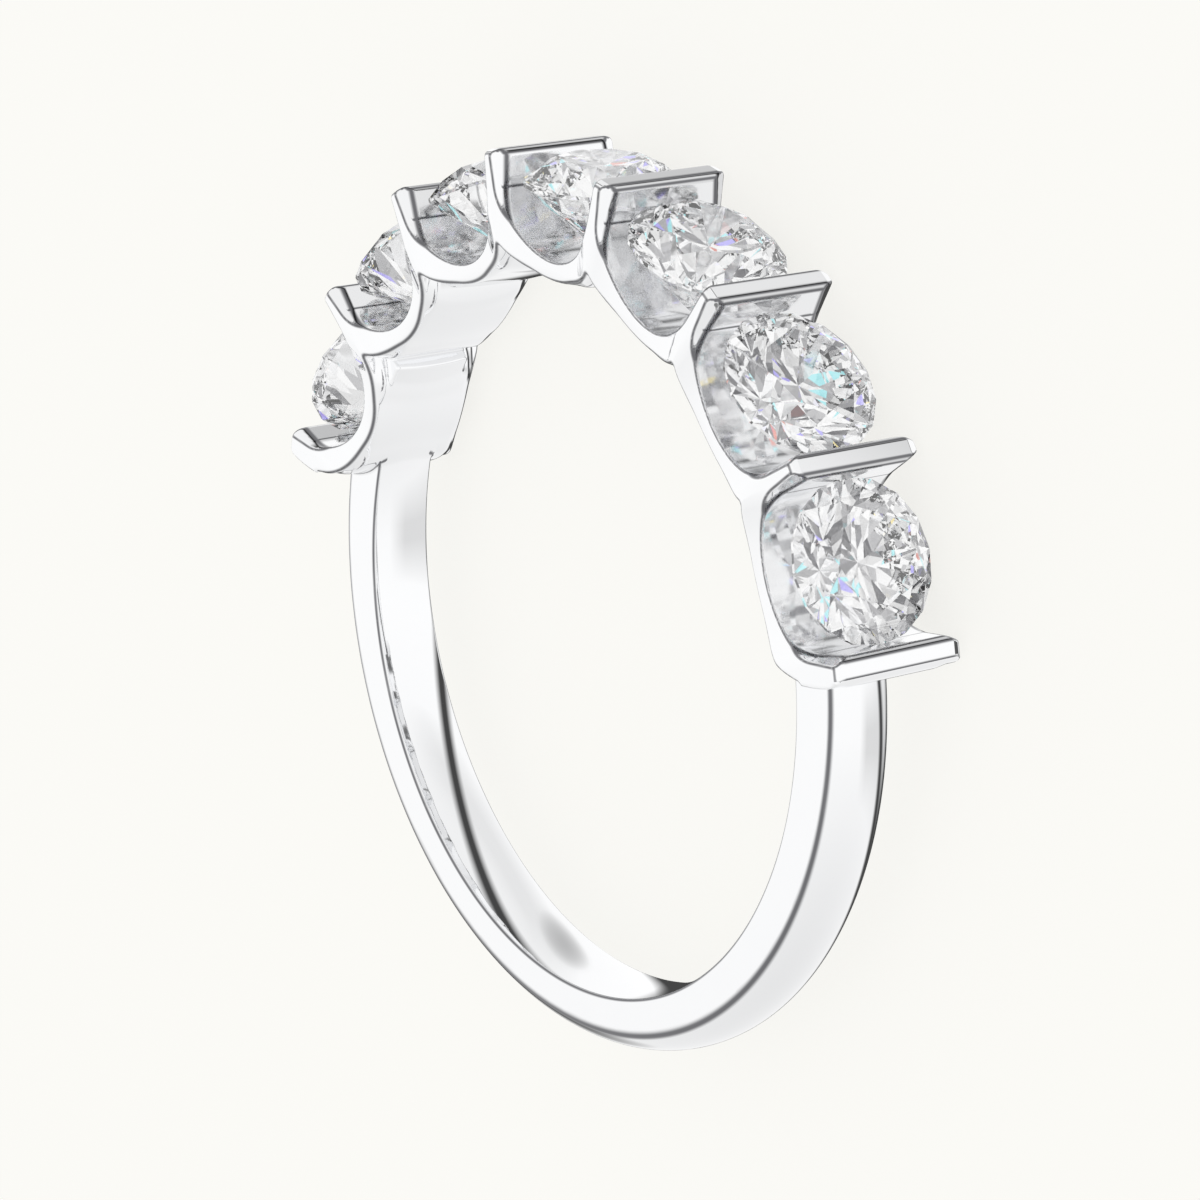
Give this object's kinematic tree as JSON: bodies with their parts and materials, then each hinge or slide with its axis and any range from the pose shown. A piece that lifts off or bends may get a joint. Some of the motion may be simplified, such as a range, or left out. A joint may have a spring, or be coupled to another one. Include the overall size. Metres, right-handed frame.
{
  "type": "bar set band",
  "caption": "Half-eternity bar set ring: round brilliants held between upright bars over scooped troughs, on a plain tapered shank, lying on its side.",
  "frame": {"origin": "centre of the finger hole, on its axis, at half the width of the band", "axes": "+Z along the finger hole, up as the band lies on its side; +Y from the hole's centre towards the middle stone; +X towards the last stone"},
  "size_m": [0.0224, 0.0212, 0.0036],
  "materials": {
    "white_metal": "mirror polished white gold",
    "clear_stone": "colourless faceted brilliant"
  },
  "bodies": {
    "root": {"band": "white_metal", "stone_1": "clear_stone", "stone_2": "clear_stone", "stone_3": "clear_stone", "stone_4": "clear_stone", "stone_5": "clear_stone", "stone_6": "clear_stone", "stone_7": "clear_stone"}
  },
  "joints": []
}
